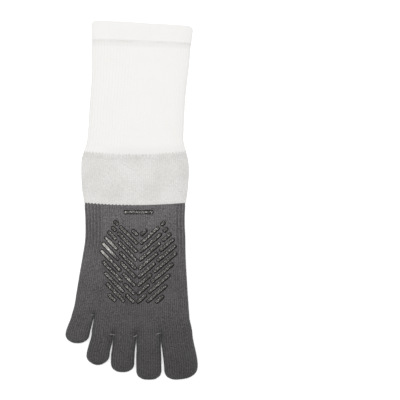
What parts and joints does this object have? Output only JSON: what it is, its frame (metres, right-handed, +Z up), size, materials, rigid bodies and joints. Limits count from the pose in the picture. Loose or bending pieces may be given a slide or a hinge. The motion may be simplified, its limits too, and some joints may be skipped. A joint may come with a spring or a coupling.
{
  "type": "toe sock",
  "caption": "Knitted toe sock lying flat, sole up, with a doubled cuff, ribbed leg, pale heel band, dark foot, separate toe pockets and a raised herringbone grip print.",
  "frame": {"origin": "middle of the sock's bounding box, on the surface that it lies on", "axes": "+Y along the sock towards its cuff, +X towards the big toe's side, +Z up out of the sole, which faces up"},
  "size_m": [0.1325, 0.3585, 0.0155],
  "materials": {
    "white_knit": "matte white rib knit",
    "grey_knit": "matte light grey heather knit",
    "dark_knit": "matte charcoal knit",
    "grip_silicone": "satin black printed silicone"
  },
  "bodies": {
    "root": {"cuff_welt": "white_knit", "leg": "white_knit", "heel_band": "grey_knit", "foot": "dark_knit", "big_toe": "dark_knit", "second_toe": "dark_knit", "third_toe": "dark_knit", "fourth_toe": "dark_knit", "little_toe": "dark_knit", "grip_left_inner_0": "grip_silicone", "grip_left_inner_1": "grip_silicone", "grip_left_inner_2": "grip_silicone", "grip_left_inner_3": "grip_silicone", "grip_left_inner_4": "grip_silicone", "grip_left_inner_5": "grip_silicone", "grip_left_inner_6": "grip_silicone", "grip_left_inner_7": "grip_silicone", "grip_left_inner_8": "grip_silicone", "grip_left_outer_1": "grip_silicone", "grip_left_outer_2": "grip_silicone", "grip_left_outer_3": "grip_silicone", "grip_left_outer_4": "grip_silicone", "grip_left_outer_5": "grip_silicone", "grip_left_outer_6": "grip_silicone", "grip_left_outer_7": "grip_silicone", "grip_left_outer_8": "grip_silicone", "grip_left_outer_9": "grip_silicone", "grip_left_outer_10": "grip_silicone", "grip_right_inner_0": "grip_silicone", "grip_right_inner_1": "grip_silicone", "grip_right_inner_2": "grip_silicone", "grip_right_inner_3": "grip_silicone", "grip_right_inner_4": "grip_silicone", "grip_right_inner_5": "grip_silicone", "grip_right_inner_6": "grip_silicone", "grip_right_inner_7": "grip_silicone", "grip_right_inner_8": "grip_silicone", "grip_right_outer_1": "grip_silicone", "grip_right_outer_2": "grip_silicone", "grip_right_outer_3": "grip_silicone", "grip_right_outer_4": "grip_silicone", "grip_right_outer_5": "grip_silicone", "grip_right_outer_6": "grip_silicone", "grip_right_outer_7": "grip_silicone", "grip_right_outer_8": "grip_silicone", "grip_right_outer_9": "grip_silicone", "grip_right_outer_10": "grip_silicone", "grip_top_bar": "grip_silicone"}
  },
  "joints": []
}
